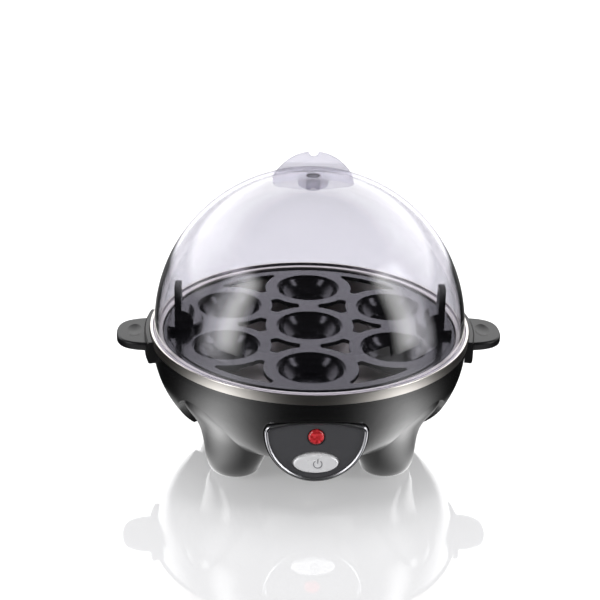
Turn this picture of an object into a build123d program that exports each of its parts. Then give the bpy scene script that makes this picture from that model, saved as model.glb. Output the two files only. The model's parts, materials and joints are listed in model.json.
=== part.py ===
from build123d import *
import os
from math import cos, radians, sin, sqrt

os.makedirs("parts", exist_ok=True)

# Electric egg cooker for seven eggs: black moulded base on four swept legs, steel rim,
# heating dish, lift-out egg tray and clear lift-off dome.
# Millimetres. The origin is on the worktop under the centre of the dish, the control panel
# looks towards -Y, the side handles lie along X and +Z is up.

# Driving dimensions of the base
rim_height = 76.0
rim_play = 0.6
rim_skirt = 6.0
rim_sheet = 0.8
rim_roll = 1.2
rim_bend = 0.5
channel_depth = 1.2
channel_width = 4.6
belt_radius = 91.6
belt_height = 66.0
bowl_sweep = 54.3
wall = 2.6
floor_height = 25.0
floor_thickness = 2.6
floor_opening = 38.0
floor_edge_round = 1.2

# Driving dimensions of the four legs
leg_azimuth = 48.7
leg_pitch_radius = 57.0
leg_foot_radius = 13.5
leg_foot_round = 5.0
leg_ankle = 11.5
leg_depth = 15.5
leg_knee_drop = 3.0
leg_wall = 2.8
leg_sole = 5.0
arch_half_angle = 17.7
arch_bottom = 27.0
arch_height = 27.0
foot_pad_radius = 6.5
foot_pad_height = 3.0
foot_pad_proud = 0.8
foot_pad_edge = 0.4

# Heating dish and its seal
dish_sheet = 1.0
dish_flange_play = 0.6
dish_flange_width = 7.4
dish_wall_run = 31.0
dish_wall_lean = 5.2
dish_depth = 21.0
dish_bulge_share = 0.42
tray_drop = 5.0
seal_thickness = 1.4
seal_width = 4.0
shoulder_width = 5.6
shoulder_thickness = 3.2

# Egg tray
tray_turn = -1.8
tray_play = 0.4
tray_recess = 1.9
tray_plate = 2.4
tray_border = 3.0
tray_border_step = 0.7
tray_skirt_width = 2.0
cup_inset = 30.0
cup_radius = 19.4
cup_wall = 1.6
cup_step = 1.2
cup_collar = 1.6
cup_depth = 9.2
cup_floor_radius = 11.2
cup_floor_step = 0.7
cup_bowl_radius = 12.0
inner_web = 6.4
inner_gap_flare = 4.13
outer_web = 7.0
outer_gap_depth = 23.1
outer_gap_inset = 7.8
gap_corner = 1.8
grip_land = 28.0
grip_inset = 8.8
grip_top = 27.1
grip_thickness = 3.8
grip_width = 15.0
grip_tip_width = 9.0
grip_flare = 7.0
shelf_radius = 14.2
shelf_height = 4.0
shelf_edge = 0.8

# Clear dome and its handle
dome_play = 0.6
dome_wall = 2.2
dome_skirt = 1.6
lid_handle_radius = 23.7
lid_handle_rise = 13.9
lid_handle_plate = 3.0
lid_handle_root = 11.0
lid_handle_root_rise = 7.6
lid_handle_notch = 2.8
spigot_radius = 4.0
spigot_length = 8.5
retainer_radius = 8.5
retainer_height = 4.2
seat_gap = 0.1

# Side handles
handle_projection = 19.4
handle_width = 36.0
handle_tab = 5.0
handle_tab_drop = 7.6
handle_flange_half_angle = 14.0
handle_flange_drop = 2.2
handle_flange_height = 13.4
handle_flange_thickness = 3.0
handle_flange_edge = 0.8
handle_screw_angle = 8.5
handle_screw_drop = 13.6
handle_screw_length = 6.6
handle_edge_round = 1.4
handle_dimple_inset = 10.4
handle_dimple_depth = 0.9
handle_dimple_half = 8.4
handle_dimple_sweep = 10.0
screw_radius = 1.5
screw_head_radius = 2.7
screw_head_height = 1.6
screw_play = 0.05
screw_slot = 0.6
screw_boss_wall = 1.7

# Control panel
panel_tilt = 5.0
panel_inset = 2.2
panel_middle = 40.2
panel_half_width = 28.0
panel_shoulder = 11.6
panel_lower = 17.8
panel_upper = 17.8
panel_corner_drop = 3.4
panel_flank_lean = 0.9
panel_corner = 3.0
bezel_width = 1.7
bezel_depth = 2.4
bezel_round = 0.6
face_thickness = 1.2
pod_margin = 0.9
pod_set_back = 1.0
pod_depth = 10.0
pod_wall = 2.0
pod_room = 8.5
pod_reach = 20.0
lens_rise = 8.4
lens_radius = 4.4
lens_dome = 1.5
lens_flange = 1.0
lens_lip = 1.0
lens_proud = 1.2
button_drop = 6.8
button_length = 24.6
button_height = 11.5
button_dome = 1.3
button_gap = 0.7
button_travel = 2.0
button_flange = 1.2
button_lip = 1.2
button_proud = 0.8
pocket_margin = 1.95
pocket_depth = 4.4
spring_radius = 3.3
spring_wire = 0.4
spring_turns = 4
spring_room = 1.2
stem_radius = 1.8
stem_length = 10.1

# Heater and small electrical pieces under the dish
spreader_inset = 3.0
spreader_thickness = 1.2
element_inset = 10.0
element_tube = 3.3
element_gap_angle = 30.0
element_pin = 1.6
pin_length = 9.0
thermostat_radius = 8.0
thermostat_height = 8.0
thermostat_skirt = 0.8
thermostat_tab = 5.0
thermostat_tab_sheet = 0.8
stud_offset = 22.0
stud_radius = 1.9
stud_length = 13.0
nut_radius = 3.6
nut_height = 2.6
bracket_width = 10.0
bracket_sheet = 1.2
fuse_offset = 24.0
fuse_radius = 2.2
fuse_length = 14.0
fuse_tail = 9.0
fuse_wire = 0.5
clip_sheet = 0.6
clip_foot = 4.0
clip_width = 6.0
buzzer_inset = 18.9
buzzer_radius = 9.0
buzzer_height = 7.0
terminal_inset = 14.9
terminal_length = 26.0
terminal_depth = 11.0
terminal_height = 9.0
terminal_bore = 1.7
terminal_groove = 0.8
lamp_radius = 3.0
lamp_length = 12.0
lamp_flange = 1.2
lamp_flange_lip = 2.0
switch_width = 15.0
switch_height = 10.0
switch_rise = 2.0
switch_depth = 11.0
switch_flange = 1.5
switch_flange_lip = 2.0
switch_stem_room = 4.0

# Bottom cover and mains inlet
cover_margin = 5.0
cover_thickness = 1.6
cover_rim = 1.4
cover_screw_margin = 2.2
cover_screw_length = 6.6
cover_slot_length = 30.0
cover_slot_width = 2.4
cover_slot_pitch = 5.2
screw_boss_height = 3.0
inlet_height = 37.5
inlet_proud = 0.9
inlet_boss = 9.6
inlet_boss_length = 14.0
bush_radius = 6.3
bush_flange_radius = 8.4
bush_flange = 2.0
bush_bore = 3.7
bush_length = 12.0

# Clearances
rest_gap = 0.3
fit_gap = 0.05
slide_gap = 0.35
thin = 0.02

# Heights and radii that follow from the driving dimensions
channel_floor = rim_height - channel_depth
housing_top = channel_floor - rim_sheet
tray_ledge = rim_height - tray_drop
flange_under = tray_ledge - dish_sheet
shoulder_top = flange_under - seal_thickness
dish_floor = tray_ledge - dish_depth
dish_under = dish_floor - dish_sheet
tray_top = rim_height - tray_recess
floor_top = floor_height + floor_thickness
rim_radius = belt_radius + rim_play + rim_sheet
channel_outer = rim_radius - rim_sheet - rim_roll
channel_inner = channel_outer - channel_width
rim_bore = channel_inner - rim_sheet
housing_bore = belt_radius - wall
dish_flange_radius = housing_bore - dish_flange_play
dish_mouth_radius = dish_flange_radius - dish_flange_width
dish_floor_radius = dish_mouth_radius - dish_wall_run
tray_radius = rim_bore - tray_play
cup_pitch = tray_radius - cup_inset
web_radius = cup_radius + inner_web
inner_gap_reach = cup_pitch / sqrt(3) - web_radius + inner_gap_flare
outer_web_radius = cup_radius + outer_web
outer_gap_outer = tray_radius - outer_gap_inset
outer_gap_inner = outer_gap_outer - outer_gap_depth
grip_radius = tray_radius - grip_inset
dome_radius = channel_outer - dome_play
dome_middle = channel_floor + dome_skirt
dome_bore = dome_radius - dome_wall
spreader_radius = dish_floor_radius - spreader_inset
element_radius = spreader_radius - element_inset
cover_radius = floor_opening + cover_margin
cover_screw_radius = floor_opening + cover_screw_margin
handle_reach = rim_radius + handle_projection
handle_dimple_centre = handle_reach - handle_dimple_inset
handle_tab_middle = rim_height - handle_tab_drop
handle_flange_top = rim_height - handle_flange_drop
handle_flange_bottom = handle_flange_top - handle_flange_height
handle_screw_height = rim_height - handle_screw_drop
panel_forward = belt_radius - panel_inset
cup_places = [(0.0, 0.0)] + [
    (cup_pitch * cos(radians(angle)), cup_pitch * sin(radians(angle)))
    for angle in range(30, 390, 60)
]
leg_angles = [-90 - leg_azimuth, -90 + leg_azimuth, 90 - leg_azimuth, 90 + leg_azimuth]
foot_places = [
    (leg_pitch_radius * cos(radians(angle)), leg_pitch_radius * sin(radians(angle)))
    for angle in leg_angles
]


def bowl_radius(height, inset=0.0):
    """Radius of the housing's side at a height, or of its inside at an inset."""
    below = max(belt_height - height, 0.0)
    centre = belt_radius - bowl_sweep
    return centre + sqrt((bowl_sweep - inset) ** 2 - below**2)


inlet_face = bowl_radius(inlet_height) + inlet_proud
buzzer_offset = bowl_radius(floor_height) - buzzer_inset
terminal_offset = bowl_radius(floor_height) - terminal_inset
panel_plane = Plane(
    origin=(0, -panel_forward, panel_middle),
    x_dir=(1, 0, 0),
    z_dir=(0, -cos(radians(panel_tilt)), sin(radians(panel_tilt))),
)
panel_axis = Axis((0, 0, 0), tuple(panel_plane.z_dir))
inlet_plane = Plane(origin=(0, inlet_face, inlet_height), x_dir=(-1, 0, 0), z_dir=(0, 1, 0))


def turned(angle):
    """Plane through the axis at an angle, for revolved and radial work."""
    return Plane(origin=(0, 0, 0), x_dir=(cos(radians(angle)), sin(radians(angle)), 0),
                 z_dir=(sin(radians(angle)), -cos(radians(angle)), 0))


def radial_plane(angle, distance, height):
    """Plane that looks outwards from the axis, its x along the worktop and its y up."""
    return Plane(
        origin=(distance * cos(radians(angle)), distance * sin(radians(angle)), height),
        x_dir=(-sin(radians(angle)), cos(radians(angle)), 0),
        z_dir=(cos(radians(angle)), sin(radians(angle)), 0),
    )


def save(piece, name):
    piece.part.label = name
    export_step(piece.part, "parts/" + name + ".step")


# Housing: a bowl swept in to the floor, with an arch cut over each leg


def bowl_outline(inset, top, bottom):
    """Half section of the bowl between two heights, standing on the axis."""
    with BuildSketch(Plane.XZ) as half:
        with BuildLine():
            belt = (belt_radius - inset, belt_height)
            keel = (bowl_radius(bottom, inset), bottom)
            Polyline((0, bottom), (0, top), (belt_radius - inset, top), belt)
            TangentArc(belt, keel, tangent=(0, -1))
            Line(keel, (0, bottom))
        make_face()
    return half.sketch


def leg_sections():
    """Height, distance from the axis and half sizes of each leg section."""
    arch_top = arch_bottom + arch_height
    middle = (floor_height + arch_top) / 2
    flank = bowl_radius(floor_height) * radians(arch_half_angle)
    ankle = foot_pad_proud + leg_ankle
    knee = arch_top - leg_knee_drop
    return [
        (foot_pad_proud, leg_pitch_radius, leg_foot_radius, leg_foot_radius + 0.5),
        (ankle, leg_pitch_radius + 1.3, leg_depth, leg_foot_radius + 6.0),
        (floor_height, bowl_radius(floor_height) - 13.8, leg_depth, flank + 1.4),
        (middle, bowl_radius(middle) - 16.2, leg_depth - 1.0, flank + 0.4),
        (knee, bowl_radius(knee) - 9.5, leg_depth * 0.58, flank * 0.75),
        (arch_top + 5.0, bowl_radius(arch_top + 5.0) - 6.1, leg_depth * 0.32, flank * 0.53),
    ]


def leg_form(angle, inset, bottom_lift):
    """One leg as a loft of ellipses that lean out towards the side of the bowl."""
    with BuildPart() as form:
        for index, (height, distance, along, across) in enumerate(leg_sections()):
            lift = bottom_lift if index == 0 else 0
            plane = Plane(
                origin=(distance * cos(radians(angle)), distance * sin(radians(angle)), height + lift),
                x_dir=(cos(radians(angle)), sin(radians(angle)), 0),
                z_dir=(0, 0, 1),
            )
            with BuildSketch(plane):
                Ellipse(along - inset, across - inset)
        loft()
        if inset == 0:
            fillet(form.edges().sort_by(Axis.Z)[0], radius=leg_foot_round)
    return form.part


def arch_block(angle, margin):
    """Radial block under an elliptical arch, cut only as deep as the middle of the leg."""
    width = bowl_radius(arch_bottom) * radians(arch_half_angle) + margin
    sections = leg_sections()
    low_height, low_reach = sections[2][0], sections[2][1] - margin
    high_height, high_reach = sections[-1][0], sections[-1][1] - margin
    slope = (high_reach - low_reach) / (high_height - low_height)
    with BuildPart() as block:
        with BuildSketch(radial_plane(angle, 0, arch_bottom)):
            Ellipse(width, arch_height + margin)
            Rectangle(2 * width, arch_bottom, align=(Align.CENTER, Align.MAX))
        extrude(amount=rim_radius)
        with BuildSketch(Plane.XZ):
            with BuildLine():
                Polyline(
                    (0, -margin), (low_reach - slope * (low_height + margin), -margin),
                    (low_reach + slope * (rim_height - low_height), rim_height), (0, rim_height),
                    close=True,
                )
            make_face()
        revolve(axis=Axis.Z, mode=Mode.SUBTRACT)
    return block.part


def shield_outline(grow):
    """Shield outline of the control panel, grown or shrunk by an amount."""
    half = panel_half_width + grow
    corner = (half - panel_flank_lean, panel_upper - panel_corner_drop + grow)
    with BuildSketch() as shield:
        with BuildLine():
            ThreePointArc((-corner[0], corner[1]), (0, panel_upper + grow), corner)
            Line(corner, (half, panel_shoulder))
            EllipticalCenterArc(
                (0, panel_shoulder), half, panel_shoulder + panel_lower + grow,
                start_angle=180, arc_size=180,
            )
            Line((-half, panel_shoulder), (-corner[0], corner[1]))
        make_face()
        fillet(shield.vertices().group_by(Axis.Y)[-1], radius=panel_corner + grow)
    return shield.sketch


def panel_offset(depth):
    """Plane parallel to the control panel, a depth in front of it."""
    return panel_plane.offset(depth)


with BuildPart() as cavity:
    add(revolve(bowl_outline(wall, housing_top + 1, floor_top), Axis.Z, mode=Mode.PRIVATE))
    for angle in leg_angles:
        add(arch_block(angle, leg_wall), mode=Mode.SUBTRACT)
    for angle in leg_angles:
        add(leg_form(angle, leg_wall, leg_sole))
    with BuildSketch(panel_offset(-pod_depth)):
        add(shield_outline(-pod_wall))
        with Locations((0, floor_top - panel_middle)):
            Rectangle(4 * panel_half_width, 2 * panel_lower, align=(Align.CENTER, Align.MAX),
                      mode=Mode.SUBTRACT)
    extrude(amount=-pod_room)

with BuildPart() as base_housing:
    add(revolve(bowl_outline(0, housing_top, floor_height), Axis.Z, mode=Mode.PRIVATE))
    fillet(base_housing.edges().sort_by(Axis.Z)[0], radius=floor_edge_round)
    for angle in leg_angles:
        add(arch_block(angle, 0), mode=Mode.SUBTRACT)
    for angle in leg_angles:
        add(leg_form(angle, 0, 0))
    with BuildSketch(panel_offset(-pod_set_back)) as pod_front:
        add(shield_outline(pod_margin))
    extrude(amount=-pod_reach)
    extrude(pod_front.sketch, amount=pod_reach, mode=Mode.SUBTRACT)
    with BuildSketch(inlet_plane) as inlet_front:
        Circle(inlet_boss)
    extrude(amount=-inlet_boss_length)
    extrude(inlet_front.sketch, amount=inlet_boss_length, mode=Mode.SUBTRACT)
    add(cavity.part, mode=Mode.SUBTRACT)
    with BuildSketch(Plane.XY.offset(shoulder_top)):
        Circle(housing_bore + wall / 2)
        Circle(dish_flange_radius - shoulder_width, mode=Mode.SUBTRACT)
    extrude(amount=-shoulder_thickness)
    with BuildSketch(Plane.XY.offset(floor_top)):
        with PolarLocations(cover_screw_radius, 4):
            Circle(screw_radius + screw_boss_wall)
    extrude(amount=screw_boss_height)
    with BuildSketch(Plane.XY.offset(floor_height)):
        Circle(floor_opening)
        with PolarLocations(cover_screw_radius, 4):
            Circle(screw_radius + screw_play)
    extrude(amount=floor_thickness + screw_boss_height, mode=Mode.SUBTRACT)
    with BuildSketch(Plane.XY):
        with Locations(*foot_places):
            Circle(foot_pad_radius + fit_gap)
    extrude(amount=foot_pad_height, mode=Mode.SUBTRACT)
    with BuildSketch(inlet_plane):
        Circle(bush_radius + fit_gap)
    extrude(amount=-2 * bush_length, mode=Mode.SUBTRACT)
    for side in (0, 180):
        for angle in (side - handle_screw_angle, side + handle_screw_angle):
            with BuildSketch(radial_plane(angle, housing_bore - 2, handle_screw_height)):
                Circle(screw_radius + screw_play)
            extrude(amount=2 * wall + 2, mode=Mode.SUBTRACT)
    with BuildSketch(panel_offset(-pod_set_back)):
        with Locations((0, -button_drop)):
            Ellipse(button_length / 2 + pocket_margin, button_height / 2 + pocket_margin)
    extrude(amount=-pocket_depth, mode=Mode.SUBTRACT)
    with BuildSketch(panel_offset(-pod_set_back)):
        with Locations((0, -button_drop)):
            Circle(spring_radius + spring_room)
        with Locations((0, lens_rise)):
            Circle(lamp_radius + slide_gap)
    extrude(amount=-pod_depth - 1, mode=Mode.SUBTRACT)
    with BuildSketch(panel_offset(-pod_set_back)):
        with Locations((0, lens_rise)):
            Circle(lens_radius + lens_lip + slide_gap)
    extrude(amount=-lens_flange - slide_gap, mode=Mode.SUBTRACT)
save(base_housing, "base_housing")

# Steel rim, heating dish and seal


with BuildPart() as steel_rim:
    with BuildSketch(Plane.XZ) as rim_profile:
        visible = [
            (rim_bore, tray_ledge),
            (rim_bore, channel_floor),
            (channel_outer, channel_floor),
            (channel_outer, rim_height),
            (rim_radius, rim_height),
            (rim_radius, rim_height - rim_skirt),
        ]
        with BuildLine():
            Polyline(*visible)
            offset(amount=rim_sheet, side=Side.RIGHT, kind=Kind.INTERSECTION, closed=True)
        make_face()
        for place in visible[1:-1]:
            bend = rim_profile.vertices().sort_by_distance(place)[0]
            fillet(bend, radius=rim_bend)
    revolve(axis=Axis.Z)
save(steel_rim, "steel_rim")

with BuildPart() as heating_dish:
    with BuildSketch(Plane.XZ):
        with BuildLine():
            mouth = (dish_mouth_radius + dish_sheet, flange_under)
            foot = (dish_floor_radius, dish_under)
            bulge = (dish_mouth_radius - dish_wall_lean + dish_sheet, dish_under + dish_depth * dish_bulge_share)
            Polyline(foot, (0, dish_under), (0, tray_ledge), (dish_flange_radius, tray_ledge),
                     (dish_flange_radius, flange_under), mouth)
            ThreePointArc(mouth, bulge, foot)
        make_face()
        with BuildLine():
            mouth = (dish_mouth_radius, tray_ledge)
            foot = (dish_floor_radius, dish_floor)
            bulge = (dish_mouth_radius - dish_wall_lean, dish_floor + dish_depth * dish_bulge_share)
            Polyline(foot, (0, dish_floor), (0, tray_ledge), mouth)
            ThreePointArc(mouth, bulge, foot)
        make_face(mode=Mode.SUBTRACT)
    revolve(axis=Axis.Z)
save(heating_dish, "heating_dish")

with BuildPart() as dish_seal:
    with BuildSketch(Plane.XY.offset(shoulder_top)):
        Circle(dish_flange_radius)
        Circle(dish_flange_radius - seal_width, mode=Mode.SUBTRACT)
    extrude(amount=seal_thickness)
save(dish_seal, "dish_seal")

# Egg tray: a webbed plate with seven cups and two lifting grips


def cup_form():
    """One egg cup under the tray's top, with a stepped collar and a round bowl."""
    shelf = tray_top - cup_collar
    well = tray_top - cup_depth
    base = well - cup_floor_step
    with BuildPart() as cup:
        with BuildSketch(Plane.XZ):
            Polygon((0, base - cup_wall), (0, tray_top), (cup_radius + cup_wall, tray_top),
                    (cup_radius + cup_wall, shelf - cup_wall), (cup_floor_radius + cup_wall, base - cup_wall),
                    align=None)
            with BuildLine():
                Polyline((cup_floor_radius, well), (cup_floor_radius, base), (0, base), (0, tray_top),
                         (cup_radius, tray_top), (cup_radius, shelf), (cup_radius - cup_step, shelf))
                RadiusArc((cup_radius - cup_step, shelf), (cup_floor_radius, well), cup_bowl_radius)
            make_face(mode=Mode.SUBTRACT)
        revolve(axis=Axis.Z)
    return cup.part


def web_gaps():
    """Openings between the cups: six round the middle cup and four nearer the rim."""
    with BuildSketch() as inner:
        with PolarLocations(cup_pitch / sqrt(3), 6):
            Circle(inner_gap_reach)
        with Locations(*cup_places):
            Circle(web_radius, mode=Mode.SUBTRACT)
        fillet(inner.vertices(), radius=gap_corner)
    with BuildSketch() as outer:
        Circle(outer_gap_outer)
        Circle(outer_gap_inner, mode=Mode.SUBTRACT)
        Rectangle(2 * tray_radius, 2 * grip_land, mode=Mode.SUBTRACT)
        with Locations(*cup_places):
            Circle(outer_web_radius, mode=Mode.SUBTRACT)
        fillet(outer.vertices(), radius=gap_corner)
    return inner.sketch, outer.sketch


def lifting_grip():
    """Finger shelf and upright prong of one lifting grip, on the +X side."""
    half = grip_thickness / 2
    foot = tray_top + shelf_height - thin
    tip = tray_top + grip_top
    with BuildPart() as prong:
        with BuildSketch(Plane.XZ):
            with BuildLine():
                Polyline((grip_radius - half - grip_flare, foot), (grip_radius + half, foot),
                         (grip_radius + half, tip - half))
                ThreePointArc((grip_radius + half, tip - half), (grip_radius, tip),
                              (grip_radius - half, tip - half))
                Line((grip_radius - half, tip - half), (grip_radius - half, foot + grip_flare))
                RadiusArc((grip_radius - half, foot + grip_flare),
                          (grip_radius - half - grip_flare, foot), -grip_flare)
            make_face()
        extrude(amount=grip_width, both=True)
        with BuildSketch(Plane.YZ):
            with BuildLine():
                shoulder = tip - grip_tip_width / 2
                Polyline((-grip_tip_width / 2, shoulder), (-grip_width / 2, foot),
                         (grip_width / 2, foot), (grip_tip_width / 2, shoulder))
                ThreePointArc((grip_tip_width / 2, shoulder), (0, tip),
                              (-grip_tip_width / 2, shoulder))
            make_face()
        extrude(amount=2 * grip_radius, mode=Mode.INTERSECT)
    with BuildPart() as grip:
        with BuildSketch(Plane.XY.offset(tray_top - tray_plate)):
            with Locations((grip_radius, 0)):
                Circle(shelf_radius)
            with Locations((tray_radius - tray_border, 0)):
                Rectangle(2 * shelf_radius, 3 * shelf_radius, align=(Align.MIN, Align.CENTER),
                          mode=Mode.SUBTRACT)
        extrude(amount=tray_plate + shelf_height)
        chamfer(grip.faces().sort_by(Axis.Z)[-1].edges(), length=shelf_edge)
        add(prong.part)
    return grip.part


inner_gaps, outer_gaps = web_gaps()
cup = cup_form()
grip = lifting_grip()
with BuildPart() as egg_tray:
    with BuildSketch(Plane.XY.offset(tray_top - tray_plate)):
        Circle(tray_radius)
        with Locations(*cup_places):
            Circle(cup_radius + cup_wall / 2, mode=Mode.SUBTRACT)
    extrude(amount=tray_plate)
    with BuildSketch(Plane.XY.offset(tray_top)):
        add(inner_gaps)
        add(outer_gaps)
    extrude(amount=-tray_plate, mode=Mode.SUBTRACT)
    with BuildSketch(Plane.XY.offset(tray_top)):
        Circle(tray_radius)
        Circle(tray_radius - tray_border, mode=Mode.SUBTRACT)
    extrude(amount=-tray_border_step, mode=Mode.SUBTRACT)
    with BuildSketch(Plane.XY.offset(tray_ledge)):
        Circle(tray_radius)
        Circle(tray_radius - tray_skirt_width, mode=Mode.SUBTRACT)
    extrude(amount=tray_top - tray_plate - tray_ledge + thin)
    with Locations(*[(across, along, 0) for across, along in cup_places]):
        add(cup)
    with PolarLocations(0, 2):
        add(grip)
egg_tray.part = egg_tray.part.rotate(Axis.Z, tray_turn)
save(egg_tray, "egg_tray")

# Clear dome with its pinch handle
apex = dome_middle + dome_radius
handle_top = apex + lid_handle_rise
handle_middle = handle_top - lid_handle_radius

with BuildPart() as lid_dome:
    with BuildSketch(Plane.XZ):
        with BuildLine():
            Polyline((dome_bore, dome_middle), (dome_bore, channel_floor),
                     (dome_radius, channel_floor), (dome_radius, dome_middle))
            CenterArc((0, dome_middle), dome_radius, 0, 90)
            Line((0, apex), (0, apex - dome_wall))
            CenterArc((0, dome_middle), dome_bore, 90, -90)
        make_face()
    revolve(axis=Axis.Z)
    with BuildSketch(Plane.XY.offset(apex + 1)):
        Circle(spigot_radius + fit_gap)
    extrude(amount=-2 * dome_wall - 1, mode=Mode.SUBTRACT)
save(lid_dome, "lid_dome")

with BuildPart() as lid_handle:
    with BuildSketch(Plane.XZ):
        with Locations((0, handle_middle)):
            Circle(lid_handle_radius)
        with Locations((0, handle_top)):
            Ellipse(lid_handle_notch, lid_handle_notch + 0.3, mode=Mode.SUBTRACT)
    extrude(amount=lid_handle_root / 2, both=True)
    with BuildSketch(Plane.YZ):
        with BuildLine():
            neck = apex + lid_handle_root_rise
            plate = lid_handle_plate / 2
            root = lid_handle_root / 2
            waist = (plate + lid_handle_root / 8, (apex + neck) / 2)
            Polyline((-root, apex), (-root, handle_middle), (root, handle_middle), (root, apex))
            ThreePointArc((root, apex), waist, (plate, neck))
            Polyline((plate, neck), (plate, handle_top + 1), (-plate, handle_top + 1), (-plate, neck))
            ThreePointArc((-plate, neck), (-waist[0], waist[1]), (-root, apex))
        make_face()
    extrude(amount=2 * lid_handle_radius, both=True, mode=Mode.INTERSECT)
    with Locations((0, 0, dome_middle)):
        Sphere(dome_radius + seat_gap, mode=Mode.SUBTRACT)
    with BuildSketch(Plane.XY.offset(apex - spigot_length)):
        Circle(spigot_radius)
    extrude(amount=spigot_length + 1.5)
save(lid_handle, "lid_handle")

with BuildPart() as handle_retainer:
    with BuildSketch(Plane.XY.offset(apex - dome_wall - retainer_height)):
        Circle(retainer_radius)
        Circle(spigot_radius + fit_gap, mode=Mode.SUBTRACT)
    extrude(amount=retainer_height)
    with Locations((0, 0, dome_middle)):
        Sphere(dome_bore - seat_gap, mode=Mode.INTERSECT)
save(handle_retainer, "handle_retainer")

# Side handles, each screwed to the housing from inside


def side_handle(name, angle):
    """Finger tab on a curved flange that follows the band under the steel rim."""
    outside = belt_radius + fit_gap
    clear = rim_radius + rest_gap
    face = clear + handle_flange_thickness
    skirt_under = rim_height - rim_skirt - rest_gap
    half = handle_width / 2
    edge = handle_flange_edge
    with BuildPart() as handle:
        with BuildSketch(Plane.XY.offset(handle_tab_middle - handle_tab / 2)):
            with BuildLine():
                Polyline((face - 1, half), (clear - 4, half), (clear - 4, -half), (face - 1, -half))
                Spline((face - 1, -half), (handle_reach, 0), (face - 1, half),
                       tangents=[(1, 0.1), (-1, 0.1)])
            make_face()
        extrude(amount=handle_tab)
        fillet(handle.faces().filter_by(Axis.Z).edges().filter_by(GeomType.BSPLINE),
               radius=handle_edge_round)
        with BuildSketch(Plane.YZ.offset(handle_dimple_centre)):
            tab_top = handle_tab_middle + handle_tab / 2
            with BuildLine():
                ThreePointArc((-handle_dimple_half, tab_top), (0, tab_top - handle_dimple_depth),
                              (handle_dimple_half, tab_top))
                Polyline((handle_dimple_half, tab_top), (handle_dimple_half, tab_top + handle_dimple_sweep),
                         (-handle_dimple_half, tab_top + handle_dimple_sweep),
                         (-handle_dimple_half, tab_top))
            make_face()
        revolve(axis=Axis((handle_dimple_centre, 0, tab_top + handle_dimple_sweep), (0, 1, 0)),
                mode=Mode.SUBTRACT)
        with BuildSketch(Plane.XY):
            Circle(clear)
        extrude(amount=rim_height, mode=Mode.SUBTRACT)
        with BuildSketch(turned(-handle_flange_half_angle)):
            with BuildLine():
                Polyline(
                    (outside, handle_flange_bottom), (face - edge, handle_flange_bottom),
                    (face, handle_flange_bottom + edge), (face, handle_flange_top - edge),
                    (face - edge, handle_flange_top), (clear, handle_flange_top),
                    (clear, skirt_under), (outside, skirt_under), close=True,
                )
            make_face()
        revolve(axis=Axis.Z, revolution_arc=2 * handle_flange_half_angle)
        for turn in (-handle_screw_angle, handle_screw_angle):
            with BuildSketch(radial_plane(turn, belt_radius - wall, handle_screw_height)):
                Circle(screw_radius + screw_play)
            extrude(amount=screw_head_seat + handle_screw_length + rest_gap - belt_radius + wall,
                    mode=Mode.SUBTRACT)
    handle.part = handle.part.rotate(Axis.Z, angle)
    save(handle, name)


screw_head_seat = bowl_radius(handle_screw_height - screw_head_radius, wall) - 2 * fit_gap
side_handle("side_handle_left", 180)
side_handle("side_handle_right", 0)


def screw(plane, length):
    """Pan-head screw with a cross recess, its head seated on the plane and its shank along -z."""
    with BuildPart() as piece:
        with BuildSketch(plane):
            Circle(screw_head_radius)
        extrude(amount=screw_head_height)
        seat_axis = Axis(plane.origin, plane.z_dir)
        fillet(piece.faces().sort_by(seat_axis)[-1].edges(), radius=screw_head_height / 2)
        with BuildSketch(plane.offset(screw_head_height)):
            Rectangle(screw_head_radius, screw_slot)
            Rectangle(screw_slot, screw_head_radius)
        extrude(amount=-screw_head_height / 2, mode=Mode.SUBTRACT)
        with BuildSketch(plane):
            Circle(screw_radius)
        extrude(amount=-length)
    return piece.part


with BuildPart() as handle_screws:
    for side in (0, 180):
        for angle in (side - handle_screw_angle, side + handle_screw_angle):
            out = radial_plane(angle, screw_head_seat, handle_screw_height)
            add(screw(Plane(origin=out.origin, x_dir=out.x_dir, z_dir=-out.z_dir),
                      handle_screw_length))
save(handle_screws, "handle_screws")

# Control panel: bezel, face, lens, button and what stands behind them
with BuildPart() as panel_bezel:
    with BuildSketch(panel_offset(-pod_set_back)):
        add(shield_outline(0))
        add(shield_outline(-bezel_width), mode=Mode.SUBTRACT)
    extrude(amount=bezel_depth)
    chamfer(panel_bezel.faces().sort_by(panel_axis)[-1].edges(), length=bezel_round)
save(panel_bezel, "panel_bezel")

with BuildPart() as panel_face:
    with BuildSketch(panel_offset(-pod_set_back)):
        add(shield_outline(-bezel_width - fit_gap))
        with Locations((0, lens_rise)):
            Circle(lens_radius + 3 * fit_gap, mode=Mode.SUBTRACT)
        with Locations((0, -button_drop)):
            Ellipse(button_length / 2 + button_gap, button_height / 2 + button_gap, mode=Mode.SUBTRACT)
    extrude(amount=face_thickness)
    with BuildSketch(panel_offset(face_thickness - pod_set_back)):
        with Locations((0, lens_rise)):
            Circle(lens_radius + button_gap)
    extrude(amount=-face_thickness / 2, mode=Mode.SUBTRACT)
save(panel_face, "panel_face")

with BuildPart() as indicator_lens:
    with BuildSketch(panel_offset(-pod_set_back - lens_flange)):
        with Locations((0, lens_rise)):
            Circle(lens_radius + lens_lip)
    extrude(amount=lens_flange)
    with BuildSketch(panel_offset(-pod_set_back)):
        with Locations((0, lens_rise)):
            Circle(lens_radius)
    extrude(amount=pod_set_back + lens_proud)
    fillet(indicator_lens.faces().sort_by(panel_axis)[-1].edges(), radius=lens_dome)
save(indicator_lens, "indicator_lens")

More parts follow.
